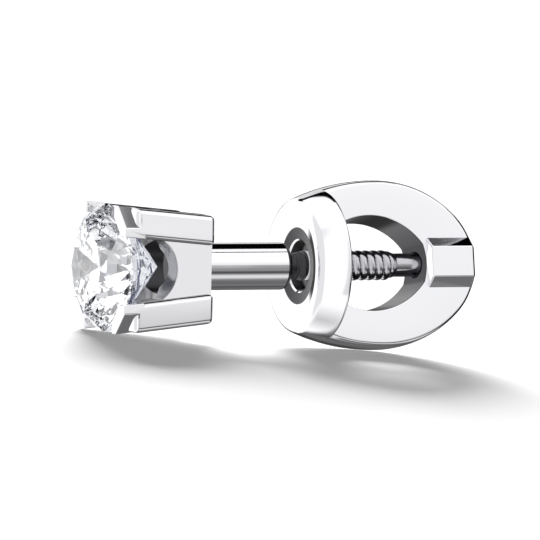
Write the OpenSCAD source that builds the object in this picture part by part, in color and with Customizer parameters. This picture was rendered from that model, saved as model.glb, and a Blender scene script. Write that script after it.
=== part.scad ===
// Screw-back stud earring in polished white metal with one round brilliant stone.
// Its own axis runs from the stone, which faces -X, to the nut at +X.
// Everything is built along that axis and then laid down as the stud rests on a table.

/* [Setting] */
// Side of the square front of the setting
setting_width = 3.76; // [3.4:0.02:4.2]
// Depth of the setting from the claw tips to its back
setting_depth = 3.02; // [2.6:0.05:3.4]
// How far each side leans in over the whole depth
side_lean = 0.285; // [0:0.005:0.4]
// Width of the opening between two claws at the front
claw_gap = 1.98; // [1.7:0.02:2.2]
// How far the panels lie below the claws
panel_recess = 0.28; // [0.1:0.02:0.4]
// Length of the cut corner at the tip of each claw, along a side
tip_cut = 0.63; // [0.4:0.01:0.8]
// How far back the cut at the tip of each claw goes
tip_cut_depth = 0.38; // [0.2:0.02:0.5]
// Radius of the round bottom of each side opening
arch_radius = 1.0; // [0.8:0.05:1.1]
// Distance from the claw tips to the centre of that round bottom
arch_centre = 0.87; // [0.6:0.01:1.1]
// Radius of the hollow under the stone
hollow_radius = 0.8; // [0.6:0.05:0.95]
// Thickness of the plate that closes the setting at the back
back_plate = 0.6; // [0.4:0.05:0.8]
// Bevel round the back of the setting
back_bevel = 0.06; // [0.05:0.01:0.2]

/* [Stone] */
// Diameter of the round brilliant
stone_diameter = 3.74; // [3.4:0.02:3.74]
// Table width as a share of the diameter
table_share = 0.57; // [0.53:0.01:0.62]
// Crown height as a share of the diameter
crown_share = 0.155; // [0.14:0.005:0.165]
// Girdle thickness as a share of the diameter
girdle_share = 0.028; // [0.02:0.002:0.035]
// Pavilion depth as a share of the diameter
pavilion_share = 0.43; // [0.42:0.005:0.44]
// Distance from the claw tips to the front edge of the girdle
girdle_depth = 0.16; // [0.1:0.01:0.25]
// Gap between the stone and its seat
seat_gap = 0.02; // [0.01:0.005:0.04]

/* [Post] */
// Diameter of the thick smooth post
post_diameter = 1.34; // [1.2:0.02:1.5]
// Distance from the claw tips to the end of the thick post
post_end = 5.98; // [5.5:0.01:6.2]
// Bevel at the end of the thick post
post_bevel = 0.14; // [0.05:0.01:0.2]
// Diameter of the neck between the post and the thread
neck_diameter = 0.74; // [0.72:0.02:0.8]
// Length of that neck
neck_length = 0.27; // [0.1:0.01:0.5]

/* [Thread] */
// Outer diameter of the thread
thread_diameter = 0.9; // [0.8:0.05:1.0]
// Pitch of the thread
thread_pitch = 0.25; // [0.2:0.005:0.25]
// Depth of the thread from crest to root
thread_depth = 0.12; // [0.08:0.01:0.14]
// Number of turns, with the two that fade out at its ends
thread_turns = 14; // [10:1:14]
// Diameter of the smooth tip behind the thread
tip_diameter = 0.7; // [0.6:0.02:0.74]
// Distance from the claw tips to the end of the rod
rod_end = 10.6; // [10.4:0.05:10.8]

/* [Nut] */
// Distance from the claw tips to the front face of the nut
nut_place = 6.21; // [6.15:0.01:6.5]
// Largest radius of the nut
nut_radius = 2.52; // [2.3:0.02:2.7]
// Distance from the front face of the nut to where it is widest
nut_widest = 2.67; // [2.45:0.01:2.8]
// Radius of the arc from the widest place to the front face
front_arc = 6.35; // [5.5:0.05:7]
// Radius of the arc from the widest place to the round end
side_arc = 3.65; // [3.4:0.05:4]
// Distance from the front face to the centre of the round end
end_centre = 3.74; // [3.7:0.01:3.8]
// Radius of the rounded outer side of the front ring
rim_radius = 0.5; // [0.4:0.02:0.6]
// Thickness of the front disc
disc_thickness = 0.95; // [0.8:0.01:1]
// Thickness of the bow between its two flat sides
bow_thickness = 1.3; // [1.1:0.05:1.5]
// How far the nut is turned on the thread
nut_turn = 10; // [0:1:12]

/* [Nut openings] */
// Distance from the front face to the middle of the window
window_centre = 2.33; // [2.2:0.01:2.33]
// Radius of the window's round end
window_radius = 1.8; // [1.7:0.02:1.8]
// Radius of the window's long sides
window_side_arc = 2.14; // [2:0.02:2.3]
// Half the height of the window at its middle
window_half_height = 1.415; // [1.3:0.005:1.5]
// Radius of the clearance hole round the thread
bore_radius = 0.475; // [0.46:0.005:0.5]
// How far the rounded inner side of the front ring falls to the countersink
face_dish = 0.3; // [0.15:0.01:0.35]
// Radius of the countersink at its mouth
sink_radius = 1.15; // [1:0.01:1.25]
// Radius of the countersink at its floor
sink_floor_radius = 0.74; // [0.7:0.01:0.8]
// Depth of the countersink below the crest of the front ring
sink_depth = 0.65; // [0.55:0.01:0.7]

/* [Nut hub] */
// Distance from the front face of the nut to the hub at its far end
hub_place = 4.14; // [4.14:0.01:4.2]
// Distance between the two outer faces of the hub
hub_width = 2.1; // [1.8:0.05:2.3]
// Height of each outer face
hub_face_height = 0.9; // [0.7:0.05:1.1]
// Height of the hub where it meets the bow
hub_root_height = 1.48; // [1.2:0.02:1.6]
// Radius of the hole in the hub that takes the rod's tip
tip_hole_radius = 0.4; // [0.36:0.01:0.5]
// Distance from the front face of the nut to the floor of that hole
tip_hole_end = 5.26; // [5.2:0.02:5.4]

/* [Quality] */
// Steps on a full circle
round_steps = 96; // [48:12:144]
// Sides of the thread on a full turn
thread_sides = 24; // [12:4:32]
// Sides of the girdle between two of its 16 corners
girdle_steps = 4; // [2:1:6]

/* [Hidden] */
metal_colour = "#d9dade";
nut_colour = "#cfd0d4";
stone_colour = "#eef3fa";

// How far a cutting solid runs past what it cuts.
over = 0.5;
// How far one solid runs into another that it is soldered to.
weld = 0.3;
front_half = setting_width / 2;
back_half = front_half - side_lean;
gap_half = claw_gap / 2;
lean_slope = side_lean / setting_depth;
hollow_end = setting_depth - back_plate;

stone_radius = stone_diameter / 2;
table_radius = stone_radius * table_share;
crown_height = stone_diameter * crown_share;
girdle_height = stone_diameter * girdle_share;
pavilion_height = stone_diameter * pavilion_share;
table_place = girdle_depth - crown_height;
girdle_back = girdle_depth + girdle_height;
culet_place = girdle_back + pavilion_height;
brilliant_folds = 8;
fold_angle = 360 / brilliant_folds;
// Radius at which the star and bezel facets meet, and where the lower halves end.
star_share = 0.5;
lower_half_share = 0.76;

thread_radius = thread_diameter / 2;
root_radius = thread_radius - thread_depth;
neck_end = post_end + neck_length;
thread_end = neck_end + thread_pitch * (thread_turns - 1);

// The round end runs into the side arc without a corner.
end_radius = side_arc - norm([end_centre - nut_widest, side_arc - nut_radius]);
nut_length = end_centre + end_radius;

// The nut's front arc and the claws' front edge both touch the table.
arc_drop = front_arc - nut_radius;
rim_height = sqrt(pow(front_arc - rim_radius, 2) - pow(nut_widest - rim_radius, 2)) - arc_drop;
lever_length = nut_place + nut_widest;
lever_height = arc_drop + front_half;
rest_tilt = asin(front_arc / norm([lever_length, lever_height])) - atan2(lever_height, lever_length);
rest_height = front_half * cos(rest_tilt);
// Furthest points of the laid-down stud along X: a claw's upper tip or the table, and the nut's round end.
table_corner_x = table_place * cos(rest_tilt) - table_radius * sin(rest_tilt);
claw_corner_x = -front_half * sin(rest_tilt);
front_x = min(table_corner_x, claw_corner_x);
end_x = (nut_place + end_centre) * cos(rest_tilt) + end_radius;
middle_x = (front_x + end_x) / 2;

// A flat outline in X and Z, drawn out to both sides of the XZ plane.
module slab(half_length) {
    rotate([90, 0, 0])
        linear_extrude(2 * half_length, center = true)
            children();
}

// A profile in X and radius, turned round the X axis.
module turned() {
    rotate([0, 90, 0])
        rotate_extrude($fn = round_steps)
            rotate([0, 0, 90])
                mirror([0, 1, 0])
                    children();
}

module rod_along_x(radius, from_x, to_x) {
    translate([from_x, 0, 0])
        rotate([0, 90, 0])
            cylinder(r = radius, h = to_x - from_x, $fn = round_steps);
}

// Lays the stud down: its axis rises towards the nut, and the middle of its box is over the origin.
module laid_down() {
    translate([-middle_x, 0, rest_height])
        rotate([0, -rest_tilt, 0])
            children();
}

// One of the four leaning outlines, seen from the side, with its back edge bevelled.
module leaning_outline() {
    polygon([
        [0, -front_half],
        [setting_depth - back_bevel, -back_half],
        [setting_depth, -back_half + back_bevel],
        [setting_depth, back_half - back_bevel],
        [setting_depth - back_bevel, back_half],
        [0, front_half]
    ]);
}

module leaning_block() {
    intersection() {
        slab(setting_width)
            leaning_outline();
        rotate([90, 0, 0])
            slab(setting_width)
                leaning_outline();
    }
}

// The stretch between two neighbouring claws, narrowing towards the back.
module between_claws() {
    polygon([
        [-over, -gap_half - over * lean_slope],
        [setting_depth + over, -gap_half + (setting_depth + over) * lean_slope],
        [setting_depth + over, gap_half - (setting_depth + over) * lean_slope],
        [-over, gap_half + over * lean_slope]
    ]);
}

// The shallow field that sets one panel back from its two claws.
module panel_field() {
    intersection() {
        slab(setting_width)
            between_claws();
        linear_extrude(setting_width, center = true)
            polygon([
                [-over, -setting_width],
                [setting_depth + over, -setting_width],
                [setting_depth + over, -(back_half - over * lean_slope) + panel_recess],
                [-over, -(front_half + over * lean_slope) + panel_recess]
            ]);
    }
}

// The opening with a round bottom that shows the stone from the side, cut through both walls.
module side_arch() {
    slab(setting_width)
        intersection() {
            between_claws();
            union() {
                translate([-over, -arch_radius])
                    square([arch_centre + over, 2 * arch_radius]);
                translate([arch_centre, 0])
                    circle(r = arch_radius, $fn = round_steps);
            }
        }
}

// The cut corner at a claw's tip.
module claw_tip_cut() {
    cut_edge = front_half - tip_cut;
    rotate([90, 0, 90])
        translate([0, 0, -over])
            linear_extrude(tip_cut_depth + over)
                polygon([
                    [cut_edge, front_half],
                    [front_half, cut_edge],
                    [front_half + over, cut_edge],
                    [front_half + over, front_half + over],
                    [cut_edge, front_half + over]
                ]);
}

// The stone's own outline with a small gap, so that the claws close over its edge.
module stone_seat() {
    seat_radius = stone_radius + seat_gap;
    crown_run = (stone_radius - table_radius) / crown_height;
    pavilion_run = stone_radius / pavilion_height;
    seat_front = girdle_depth - seat_gap;
    seat_back = girdle_back + seat_gap;
    turned()
        polygon([
            [-over, 0],
            [-over, seat_radius - (seat_front + over) * crown_run],
            [seat_front, seat_radius],
            [seat_back, seat_radius],
            [seat_back + seat_radius / pavilion_run, 0]
        ]);
}

module setting_body() {
    difference() {
        leaning_block();
        for (side = [0 : 3])
            rotate([90 * side, 0, 0])
                panel_field();
        for (side = [0 : 1])
            rotate([90 * side, 0, 0])
                side_arch();
        for (corner = [0 : 3])
            rotate([90 * corner, 0, 0])
                claw_tip_cut();
        stone_seat();
        rod_along_x(hollow_radius, girdle_back, hollow_end);
    }
}

// The post, its neck, the core of the thread and the smooth tip, turned in one piece.
module turned_post() {
    post_radius = post_diameter / 2;
    neck_radius = neck_diameter / 2;
    tip_radius = tip_diameter / 2;
    core_radius = root_radius - seat_gap;
    tip_bevel = tip_radius / 4;
    turned()
        polygon([
            [setting_depth - weld, 0],
            [setting_depth - weld, post_radius],
            [post_end - post_bevel, post_radius],
            [post_end, post_radius - post_bevel],
            [post_end, neck_radius],
            [neck_end, neck_radius],
            [neck_end, core_radius],
            [thread_end, core_radius],
            [thread_end, tip_radius],
            [rod_end - tip_bevel, tip_radius],
            [rod_end, tip_radius - tip_bevel],
            [rod_end, 0]
        ]);
}

// A point of the thread at a step round the helix.
function thread_point(step, x, radius) = [
    x,
    radius * cos(360 * step / thread_sides),
    radius * sin(360 * step / thread_sides)
];
// Where the root line is at a step: a flat ring for the first and the last turn, and a helix between.
function root_x(step) =
    neck_end + thread_pitch * min(max(step / thread_sides - 1, 0), thread_turns - 1);
// How wide the thread is at a step, as a share of the pitch.
function thread_share(step) = (root_x(step + thread_sides) - root_x(step)) / thread_pitch;

// A V-shaped right-hand thread as one closed solid, fading out over its first and last turn.
module helical_thread() {
    last = thread_sides * thread_turns;
    root_steps = [for (step = [0 : last + thread_sides - 1]) if (step != thread_sides) step];
    crest_steps = [for (step = [1 : last - 1]) step];
    points = concat(
        [for (step = root_steps) thread_point(step, root_x(step), root_radius)],
        [for (step = crest_steps)
            thread_point(
                step,
                (root_x(step) + root_x(step + thread_sides)) / 2,
                root_radius + thread_depth * thread_share(step)
            )]
    );
    first_crest = len(root_steps);
    function root_index(step) =
        step == thread_sides ? 0 :
        step == last + thread_sides ? root_index(last) :
        step < thread_sides ? step : step - 1;
    function crest_index(step) =
        step == 0 ? 0 :
        step == last ? root_index(last) : first_crest + step - 1;
    flanks = [for (step = [0 : last - 1])
        let (
            near = root_index(step),
            near_next = root_index(step + 1),
            crest = crest_index(step),
            crest_next = crest_index(step + 1),
            far = root_index(step + thread_sides),
            far_next = root_index(step + thread_sides + 1)
        )
        for (face = [
            [near, crest, crest_next],
            [near, crest_next, near_next],
            [crest, far, far_next],
            [crest, far_next, crest_next]
        ])
            if (face[0] != face[1] && face[1] != face[2] && face[0] != face[2]) face
    ];
    front_cap = [for (step = [0 : thread_sides - 1]) root_index(step)];
    back_cap = [for (step = [thread_sides - 1 : -1 : 0]) root_index(last + step)];
    polyhedron(points = points, faces = concat(flanks, [front_cap, back_cap]));
}

module claw_setting() {
    color(metal_colour)
        laid_down() {
            setting_body();
            turned_post();
            helical_thread();
        }
}

// A point of the stone at an angle round its axis.
function stone_point(x, radius, angle) = [x, radius * sin(angle), radius * cos(angle)];
// Where the plane through three points lies at a given angle and radius.
function plane_x(a, b, c, radius, angle) =
    let (
        normal = cross(b - a, c - a),
        place = stone_point(0, radius, angle)
    )
    (normal * a - normal[1] * place[1] - normal[2] * place[2]) / normal[0];

// A standard round brilliant: table, 8 stars, 8 bezels, 16 upper and 16 lower halves and 8 mains.
module brilliant() {
    half_fold = fold_angle / 2;
    rings = 2 * brilliant_folds * girdle_steps;
    step_angle = 360 / rings;
    star_radius = table_radius + (stone_radius - table_radius) * star_share;
    bezel_slope = crown_height / (stone_radius - table_radius);
    star_x = table_place + (star_radius * cos(half_fold) - table_radius) * bezel_slope;
    lower_radius = stone_radius * (1 - lower_half_share);
    main_slope = pavilion_height / stone_radius;
    lower_x = culet_place - lower_radius * cos(half_fold) * main_slope;
    function upper_edge(angle) =
        let (
            turn = floor(angle / fold_angle),
            star = stone_point(star_x, star_radius, turn * fold_angle + half_fold),
            middle = stone_point(girdle_depth, stone_radius, turn * fold_angle + half_fold),
            inner = angle - turn * fold_angle,
            corner_angle = inner <= half_fold ? turn * fold_angle : (turn + 1) * fold_angle,
            corner = stone_point(girdle_depth, stone_radius, corner_angle)
        )
        inner == 0 || inner == half_fold ? girdle_depth :
        plane_x(star, middle, corner, stone_radius, angle);
    function lower_edge(angle) =
        let (
            turn = floor(angle / fold_angle),
            low = stone_point(lower_x, lower_radius, turn * fold_angle + half_fold),
            middle = stone_point(girdle_back, stone_radius, turn * fold_angle + half_fold),
            inner = angle - turn * fold_angle,
            corner_angle = inner <= half_fold ? turn * fold_angle : (turn + 1) * fold_angle,
            corner = stone_point(girdle_back, stone_radius, corner_angle)
        )
        inner == 0 || inner == half_fold ? girdle_back :
        plane_x(low, middle, corner, stone_radius, angle);
    points = concat(
        [for (i = [0 : brilliant_folds - 1]) stone_point(table_place, table_radius, i * fold_angle)],
        [for (i = [0 : brilliant_folds - 1])
            stone_point(star_x, star_radius, i * fold_angle + half_fold)],
        [for (i = [0 : rings - 1]) stone_point(upper_edge(i * step_angle), stone_radius, i * step_angle)],
        [for (i = [0 : rings - 1]) stone_point(lower_edge(i * step_angle), stone_radius, i * step_angle)],
        [for (i = [0 : brilliant_folds - 1])
            stone_point(lower_x, lower_radius, i * fold_angle + half_fold)],
        [[culet_place, 0, 0]]
    );
    function table_corner(i) = i % brilliant_folds;
    function star_corner(i) = brilliant_folds + i % brilliant_folds;
    function upper_corner(i) = 2 * brilliant_folds + i % rings;
    function lower_corner(i) = 2 * brilliant_folds + rings + i % rings;
    function pavilion_corner(i) = 2 * brilliant_folds + 2 * rings + i % brilliant_folds;
    culet = 3 * brilliant_folds + 2 * rings;
    per_half = girdle_steps;
    per_fold = 2 * girdle_steps;
    table = [[for (i = [brilliant_folds - 1 : -1 : 0]) table_corner(i)]];
    stars = [for (i = [0 : brilliant_folds - 1])
        [table_corner(i), table_corner(i + 1), star_corner(i)]];
    bezels = [for (i = [0 : brilliant_folds - 1])
        [table_corner(i + 1), star_corner(i + 1), upper_corner((i + 1) * per_fold), star_corner(i)]];
    upper_halves = [for (i = [0 : brilliant_folds - 1], half = [0 : 1])
        concat(
            [star_corner(i)],
            [for (k = [per_half : -1 : 0]) upper_corner(i * per_fold + half * per_half + k)]
        )];
    girdle = [for (i = [0 : rings - 1])
        [upper_corner(i), upper_corner(i + 1), lower_corner(i + 1), lower_corner(i)]];
    lower_halves = [for (i = [0 : brilliant_folds - 1], half = [0 : 1])
        concat(
            [pavilion_corner(i)],
            [for (k = [0 : per_half]) lower_corner(i * per_fold + half * per_half + k)]
        )];
    mains = [for (i = [0 : brilliant_folds - 1])
        [culet, pavilion_corner(i), lower_corner((i + 1) * per_fold), pavilion_corner(i + 1)]];
    polyhedron(
        points = points,
        faces = concat(table, stars, bezels, upper_halves, girdle, lower_halves, mains)
    );
}

module stone() {
    color(stone_colour)
        laid_down()
            brilliant();
}

// The part of a circle that lies above the axis and between two places along it.
module arc_strip(centre, radius, from_x, to_x) {
    intersection() {
        translate(centre)
            circle(r = radius, $fn = round_steps);
        translate([from_x, 0])
            square([to_x - from_x, nut_radius + over]);
    }
}

// The egg-shaped outline of the nut in X and radius: rounded rim, two long arcs and the round end.
// Each tighter arc starts inside the flatter one before it, so that the strips join into one face.
module nut_profile() {
    rim_end = nut_widest - (nut_widest - rim_radius) * front_arc / (front_arc - rim_radius);
    side_share = side_arc / norm([end_centre - nut_widest, side_arc - nut_radius]);
    side_end = nut_widest + (end_centre - nut_widest) * side_share;
    square([nut_widest, rim_height]);
    translate([rim_radius, rim_height])
        circle(r = rim_radius, $fn = round_steps);
    arc_strip([nut_widest, nut_radius - front_arc], front_arc, rim_end, nut_widest);
    arc_strip([nut_widest, nut_radius - side_arc], side_arc, nut_widest - weld, side_end);
    arc_strip([end_centre, 0], end_radius, side_end - weld, nut_length);
}

module window() {
    side_offset = window_side_arc - window_half_height;
    slab(nut_radius)
        intersection() {
            translate([window_centre, 0])
                circle(r = window_radius, $fn = round_steps);
            translate([window_centre, -side_offset])
                circle(r = window_side_arc, $fn = round_steps);
            translate([window_centre, side_offset])
                circle(r = window_side_arc, $fn = round_steps);
            translate([disc_thickness, -nut_radius])
                square([hub_place - disc_thickness, 2 * nut_radius]);
        }
}

// The solids that the egg is cut down to: the front disc, the bow and the hub.
module nut_frame() {
    reach = nut_radius + over;
    rod_along_x(reach, 0, disc_thickness);
    translate([disc_thickness / 2, -bow_thickness / 2, -reach])
        cube([nut_length, bow_thickness, 2 * reach]);
    translate([hub_place, 0, 0])
        rotate([90, 0, 90])
            linear_extrude(nut_length - hub_place)
                polygon([
                    [-hub_width / 2, -hub_face_height / 2],
                    [-bow_thickness / 2, -hub_root_height / 2],
                    [bow_thickness / 2, -hub_root_height / 2],
                    [hub_width / 2, -hub_face_height / 2],
                    [hub_width / 2, hub_face_height / 2],
                    [bow_thickness / 2, hub_root_height / 2],
                    [-bow_thickness / 2, hub_root_height / 2],
                    [-hub_width / 2, hub_face_height / 2]
                ]);
}

// What is cut away inside the crest of the front ring: its rounded inner side and the countersink.
module ring_inside() {
    run = rim_height - sink_radius;
    inner_radius = (run * run + face_dish * face_dish) / (2 * face_dish);
    difference() {
        translate([-over, sink_radius])
            square([over + face_dish, run]);
        translate([inner_radius, rim_height])
            circle(r = inner_radius, $fn = round_steps);
    }
    polygon([
        [-over, 0],
        [-over, sink_radius],
        [face_dish, sink_radius],
        [sink_depth, sink_floor_radius],
        [sink_depth, 0]
    ]);
}

module nut_body() {
    difference() {
        intersection() {
            turned()
                nut_profile();
            nut_frame();
        }
        window();
        turned()
            ring_inside();
        rod_along_x(bore_radius, 0, disc_thickness + over);
        rod_along_x(tip_hole_radius, hub_place - over, tip_hole_end);
    }
}

module screw_nut() {
    color(nut_colour)
        laid_down()
            translate([nut_place, 0, 0])
                rotate([-nut_turn, 0, 0])
                    nut_body();
}

claw_setting();
stone();
screw_nut();
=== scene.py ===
import math

import bmesh
import bpy
from mathutils import Matrix, Vector


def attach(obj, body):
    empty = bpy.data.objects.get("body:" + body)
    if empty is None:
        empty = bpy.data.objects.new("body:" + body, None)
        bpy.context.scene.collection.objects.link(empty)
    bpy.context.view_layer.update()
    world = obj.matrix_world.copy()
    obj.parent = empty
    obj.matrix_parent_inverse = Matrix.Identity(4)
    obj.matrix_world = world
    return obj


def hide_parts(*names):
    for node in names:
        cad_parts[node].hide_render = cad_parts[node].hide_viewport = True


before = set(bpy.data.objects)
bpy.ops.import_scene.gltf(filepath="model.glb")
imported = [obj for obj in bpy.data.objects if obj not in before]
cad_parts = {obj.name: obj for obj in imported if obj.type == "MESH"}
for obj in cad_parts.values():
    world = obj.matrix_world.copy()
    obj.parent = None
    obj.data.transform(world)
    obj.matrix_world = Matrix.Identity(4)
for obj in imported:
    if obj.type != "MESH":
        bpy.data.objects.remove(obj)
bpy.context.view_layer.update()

print("stage: frame loaded,", len(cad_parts), "CAD nodes")

# All sizes are in millimetres along the stud's own axis, as in the part's source:
# x runs from the claw tips to the nut, z is up and y points to the far side.
millimetre = 0.001
layDown = {
    "tilt": 4.233817,      # degrees that the axis rises towards the nut
    "middleX": 5.759694,   # where the middle of the box is on the axis
    "height": 1.87487,     # height of the axis over the table at the claw tips
}
studPlace = (
    Matrix.Scale(millimetre, 4)
    @ Matrix.Translation((-layDown["middleX"], 0, layDown["height"]))
    @ Matrix.Rotation(-math.radians(layDown["tilt"]), 4, "Y")
)
meshing = {
    "weld": 1e-5,          # points closer than this become one
    "touch": 1e-4,         # a point this close to a surface lies on it
    "bevelFrom": 30,       # degrees between two faces from which their edge can be rounded
    "sharpFrom": 32,       # degrees from which an edge is shaded as sharp
    "flatWeight": 50,      # how far large faces keep the shading flat up to their roundings
    "arcShare": 0.48,      # the most of a side that the arc at its corner takes
    "rounds": 60,          # of a sum that closes in on its result
}


def fromHex(colour):
    # an sRGB hex value as linear red, green, blue and alpha
    parts = [int(colour[i:i + 2], 16) / 255 for i in (1, 3, 5)]
    return [p / 12.92 if p <= 0.04045 else ((p + 0.055) / 1.055) ** 2.4 for p in parts] + [1.0]


def addNode(tree, kind, settings=None, inputs=None):
    # one node with its settings; each input is a value or the socket that feeds it
    node = tree.nodes.new(kind)
    for key, value in (settings or {}).items():
        setattr(node, key, value)
    for key, value in (inputs or {}).items():
        if isinstance(value, bpy.types.NodeSocket):
            tree.links.new(value, node.inputs[key])
        else:
            node.inputs[key].default_value = value
    return node


def roundCorners(corners, steps, closed=False):
    # corners are (x, r, radius); each one with a radius becomes an arc
    line = []
    count, share = len(corners), meshing["arcShare"]
    for i, (x, r, radius) in enumerate(corners):
        if radius == 0 or (not closed and i in (0, count - 1)):
            line.append((x, r))
            continue
        corner = Vector((x, r))
        before = Vector(corners[i - 1][:2]) - corner
        after = Vector(corners[(i + 1) % count][:2]) - corner
        half = before.angle(after) / 2
        reach = min(radius / math.tan(half), share * before.length, share * after.length)
        start = corner + before.normalized() * reach
        end = corner + after.normalized() * reach
        bend = reach * math.tan(half)
        inward = (before.normalized() + after.normalized()).normalized()
        centre = corner + inward * (bend / math.sin(half))
        a, b = start - centre, end - centre
        turn = a.angle_signed(b)
        for k in range(steps + 1):
            angle = -turn * k / steps
            line.append((
                centre.x + a.x * math.cos(angle) - a.y * math.sin(angle),
                centre.y + a.x * math.sin(angle) + a.y * math.cos(angle),
            ))
    return line


def quarterArc(steps):
    # the angles of a rounding, from one of its sides to the other
    return [math.pi / 2 * k / steps for k in range(steps + 1)]


def meshFrom(name, points, faces):
    mesh = bpy.data.meshes.new(name)
    mesh.from_pydata(points, [], faces)
    mesh.update()
    work = bmesh.new()
    work.from_mesh(mesh)
    bmesh.ops.remove_doubles(work, verts=work.verts, dist=meshing["weld"])
    bmesh.ops.recalc_face_normals(work, faces=work.faces)
    work.to_mesh(mesh)
    work.free()
    return mesh


def loftFaces(rings, sides):
    # quads between closed rings of the same number of points
    faces = []
    for i in range(rings - 1):
        for k in range(sides):
            a, b = i * sides + k, i * sides + (k + 1) % sides
            faces.append((a, b, b + sides, a + sides))
    return faces


def turned(name, line, sides, radiusAt=None, closed=False):
    # turns a line of (x, r) round the axis; a closed line joins up with its own start,
    # and a radius of 0 closes an end of an open one with a fan
    inner = [p for p in line if p[1] > 0]
    points = []
    for x, r in inner:
        for k in range(sides):
            angle = 2 * math.pi * k / sides
            radius = radiusAt(x, r, angle) if radiusAt else r
            points.append((x, radius * math.sin(angle), radius * math.cos(angle)))
    faces = loftFaces(len(inner), sides)
    last = (len(inner) - 1) * sides
    if closed:
        faces += [(last + k, last + (k + 1) % sides, (k + 1) % sides, k) for k in range(sides)]
    if line[0][1] == 0:
        points.append((line[0][0], 0, 0))
        faces += [((k + 1) % sides, k, len(points) - 1) for k in range(sides)]
    if line[-1][1] == 0:
        points.append((line[-1][0], 0, 0))
        faces += [(last + k, last + (k + 1) % sides, len(points) - 1) for k in range(sides)]
    return meshFrom(name, points, faces)


def block(name, near, far):
    # the solid between two outlines that have the same number of points
    count = len(near)
    faces = [tuple(range(count)), tuple(range(2 * count - 1, count - 1, -1))]
    faces += [(k, (k + 1) % count, count + (k + 1) % count, count + k) for k in range(count)]
    return meshFrom(name, near + far, faces)


def quarterTurned(mesh, quarter):
    mesh.transform(Matrix.Rotation(math.radians(90 * quarter), 4, "X"))
    return mesh


def looseObject(name, data):
    obj = bpy.data.objects.new(name, data)
    bpy.context.scene.collection.objects.link(obj)
    return obj


def applied(obj):
    # the object's mesh with its modifiers applied; the object itself goes
    graph = bpy.context.evaluated_depsgraph_get()
    mesh = bpy.data.meshes.new_from_object(obj.evaluated_get(graph))
    bpy.data.objects.remove(obj)
    return mesh


def combined(name, operation, mesh, others):
    # adds the other meshes to the first or takes them off it, one after the other
    body = looseObject(name, mesh)
    tools = [looseObject(f"{name}Tool{i}", other) for i, other in enumerate(others)]
    for i, tool in enumerate(tools):
        step = body.modifiers.new(f"step{i}", "BOOLEAN")
        step.operation = operation
        step.solver = "EXACT"
        step.object = tool
    result = applied(body)
    for tool in tools:
        bpy.data.objects.remove(tool)
    return result


def isSharp(edge):
    return math.degrees(edge.calc_face_angle(0)) > meshing["bevelFrom"]


def roundEdges(mesh, rounding, chosen=isSharp):
    # rounds the chosen edges, as filing and polishing does
    width, steps = rounding
    work = bmesh.new()
    work.from_mesh(mesh)
    edges = [e for e in work.edges if len(e.link_faces) == 2 and chosen(e)]
    bmesh.ops.bevel(
        work, geom=edges, offset=width, segments=steps, profile=0.5, affect="EDGES", clamp_overlap=False,
    )
    bmesh.ops.remove_doubles(work, verts=work.verts, dist=meshing["weld"])
    bmesh.ops.recalc_face_normals(work, faces=work.faces)
    work.to_mesh(mesh)
    work.free()
    return mesh


def giveFinishes(mesh, finishOf):
    # finishOf says for each face which of the piece's materials it has
    for face in mesh.polygons:
        face.material_index = finishOf(face)


def addPiece(name, mesh, place, body, node, materials, smooth=True, mirrored=True):
    # puts a mesh of millimetres in the scene, on its body, and hides the CAD node that it stands for
    for material in materials:
        mesh.materials.append(material)
    if smooth:
        mesh.shade_smooth()
        mesh.set_sharp_from_angle(angle=math.radians(meshing["sharpFrom"]))
        rounded = looseObject(name, mesh)
        weighted = rounded.modifiers.new("flatFaces", "WEIGHTED_NORMAL")
        weighted.weight = meshing["flatWeight"]
        weighted.keep_sharp = True
        mesh = applied(rounded)   # still in millimetres, as in metres the faces are too small for it
    mesh.transform(place)
    piece = looseObject(name, mesh)
    piece.visible_glossy = mirrored   # the photo's mirrors don't show the setting, the post or the ring
    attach(piece, body)
    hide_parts(node)
    print("stage:", name, "made,", len(mesh.polygons), "faces")


def newMaterial(name, shaderOf, values):
    material = bpy.data.materials.new(name)
    material.use_nodes = True
    tree = material.node_tree
    tree.nodes.clear()
    shader = shaderOf(tree, values)
    addNode(tree, "ShaderNodeOutputMaterial", None, {"Surface": shader.outputs["BSDF"]})
    return material


# Rhodium-plated white gold, ground and polished on a felt wheel: a cold, even white mirror.
# A faint unevenness bends its reflections, as polishing by hand leaves it.
polishedMetal = {
    "colour": "#e9e9ec",
    "roughness": 0.05,
    "unevenness": 0.004,      # mm of height
    "unevennessSize": 1.6,    # mm
    "scratchSize": 0.05,      # mm, far coarser than the real ones so that it shows at all
    "scratchRoughness": 0.03,
    "scratched": (0.35, 0.75),   # the noise's values from no scratches to the most of them
}


def polishedWhiteGold(tree, values):
    place = addNode(tree, "ShaderNodeTexCoord").outputs["Object"]
    scratch = values["scratchSize"] * millimetre
    wheelMarks = addNode(
        tree, "ShaderNodeTexNoise", None,
        {"Vector": place, "Scale": 1 / scratch, "Detail": 3.0, "Roughness": 0.6},
    )
    gloss = addNode(
        tree, "ShaderNodeMapRange", None,
        {
            "Value": wheelMarks.outputs["Fac"],
            "From Min": values["scratched"][0], "From Max": values["scratched"][1],
            "To Min": values["roughness"], "To Max": values["roughness"] + values["scratchRoughness"],
        },
    )
    wave = values["unevennessSize"] * millimetre
    waves = addNode(
        tree, "ShaderNodeTexNoise", None,
        {"Vector": place, "Scale": 1 / wave, "Detail": 1.0, "Roughness": 0.4},
    )
    bump = addNode(
        tree, "ShaderNodeBump", None,
        {"Strength": 1.0, "Distance": values["unevenness"] * millimetre, "Height": waves.outputs["Fac"]},
    )
    return addNode(
        tree, "ShaderNodeBsdfPrincipled", None,
        {
            "Base Color": fromHex(values["colour"]), "Metallic": 1.0,
            "Roughness": gloss.outputs["Result"], "Normal": bump.outputs["Normal"],
        },
    )


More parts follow.
